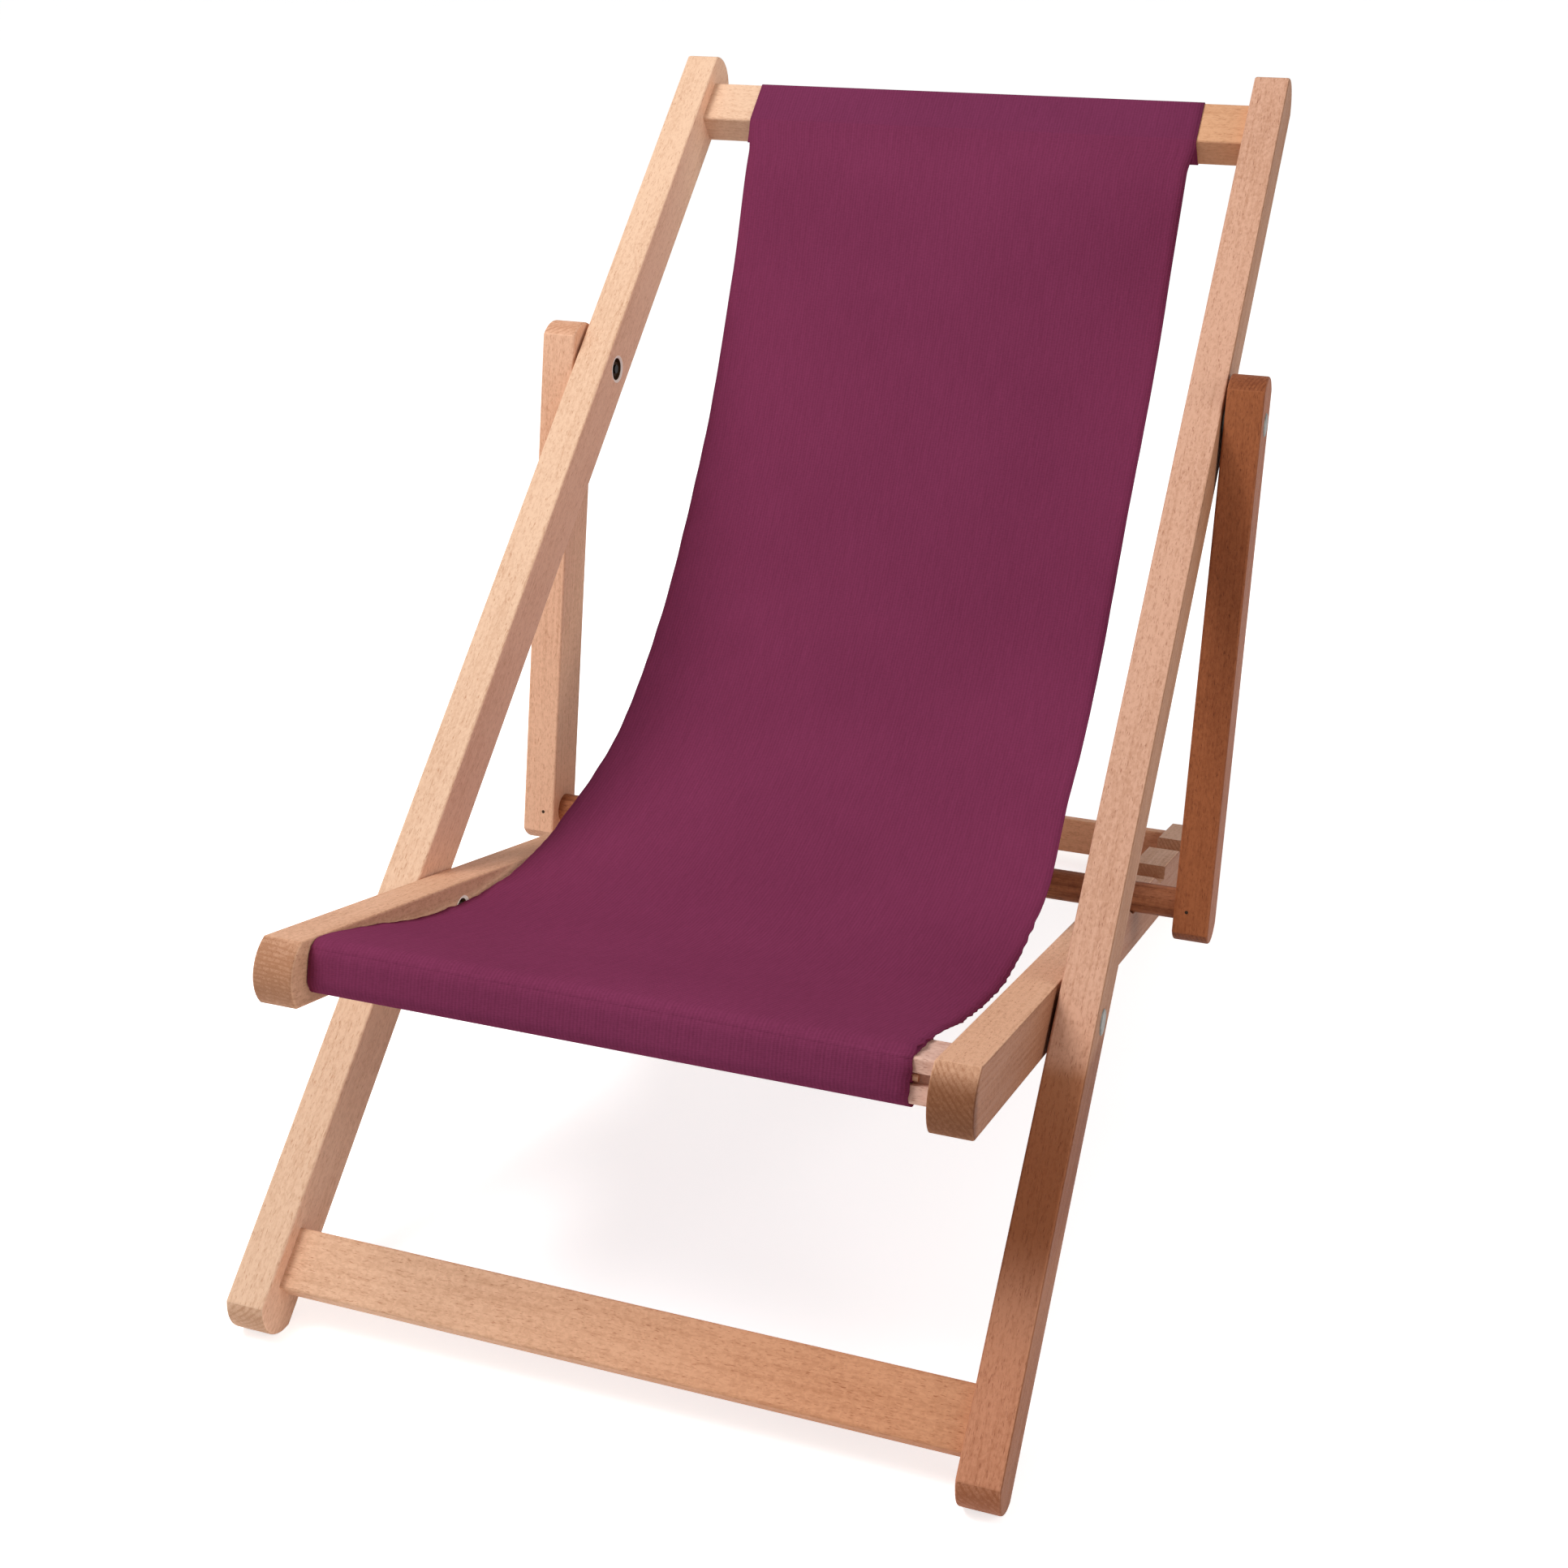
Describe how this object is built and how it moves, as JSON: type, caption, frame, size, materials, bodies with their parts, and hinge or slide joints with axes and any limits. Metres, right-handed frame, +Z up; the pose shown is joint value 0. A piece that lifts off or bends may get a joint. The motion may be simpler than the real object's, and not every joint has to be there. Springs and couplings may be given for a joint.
{
  "type": "deck chair",
  "caption": "Folding wooden deck chair: a back frame, a notched seat frame and a prop frame carry a hanging canvas sling.",
  "frame": {"origin": "on the floor, under the middle of the frame's overall length and width", "axes": "+Z up, +X to the right as the chair is seen from its front, the sitter faces -Y and the back leans towards +Y"},
  "size_m": [0.649, 1.0184, 0.8232],
  "materials": {
    "beech": "clear satin oil on planed beech",
    "bar_wood": "turned round bar, dark reddish brown",
    "dowel_beech": "plain beech, hidden in the joints",
    "steel": "plain zinc-plated steel",
    "canvas": "plain woven plum canvas"
  },
  "bodies": {
    "back_frame": {"back_rail_left": "beech", "back_rail_right": "beech", "front_plank": "beech", "front_plank_dowels": "dowel_beech", "lower_pivot_bolt_left": "steel", "lower_pivot_bolt_right": "steel", "lower_pivot_nut_left": "steel", "lower_pivot_nut_right": "steel", "lower_pivot_washer_left": "steel", "lower_pivot_washer_right": "steel", "sling": "canvas", "top_bar": "beech", "top_bar_dowels": "dowel_beech", "upper_pivot_bolt_left": "steel", "upper_pivot_bolt_right": "steel", "upper_pivot_nut_left": "steel", "upper_pivot_nut_right": "steel", "upper_pivot_washer_left": "steel", "upper_pivot_washer_right": "steel"},
    "seat_frame": {"front_bar": "beech", "front_bar_dowels": "dowel_beech", "rear_bar": "beech", "rear_bar_dowels": "dowel_beech", "seat_rail_left": "beech", "seat_rail_right": "beech", "sling_rod": "steel"},
    "prop_frame": {"prop_bar": "bar_wood", "prop_bar_pins": "steel", "prop_rail_left": "beech", "prop_rail_right": "beech"}
  },
  "joints": [
    {"name": "seat_fold", "type": "hinge", "parent": "back_frame", "child": "seat_frame", "pos_m": [0, -0.23626, 0.23051], "axis": [1, 0, 0], "range_deg": [-11.3, 55.66], "deforming": ["sling"]},
    {"name": "prop_swing", "type": "hinge", "parent": "back_frame", "child": "prop_frame", "pos_m": [0, 0.17586, 0.57322], "axis": [1, 0, 0], "range_deg": [0, 140.46]}
  ]
}
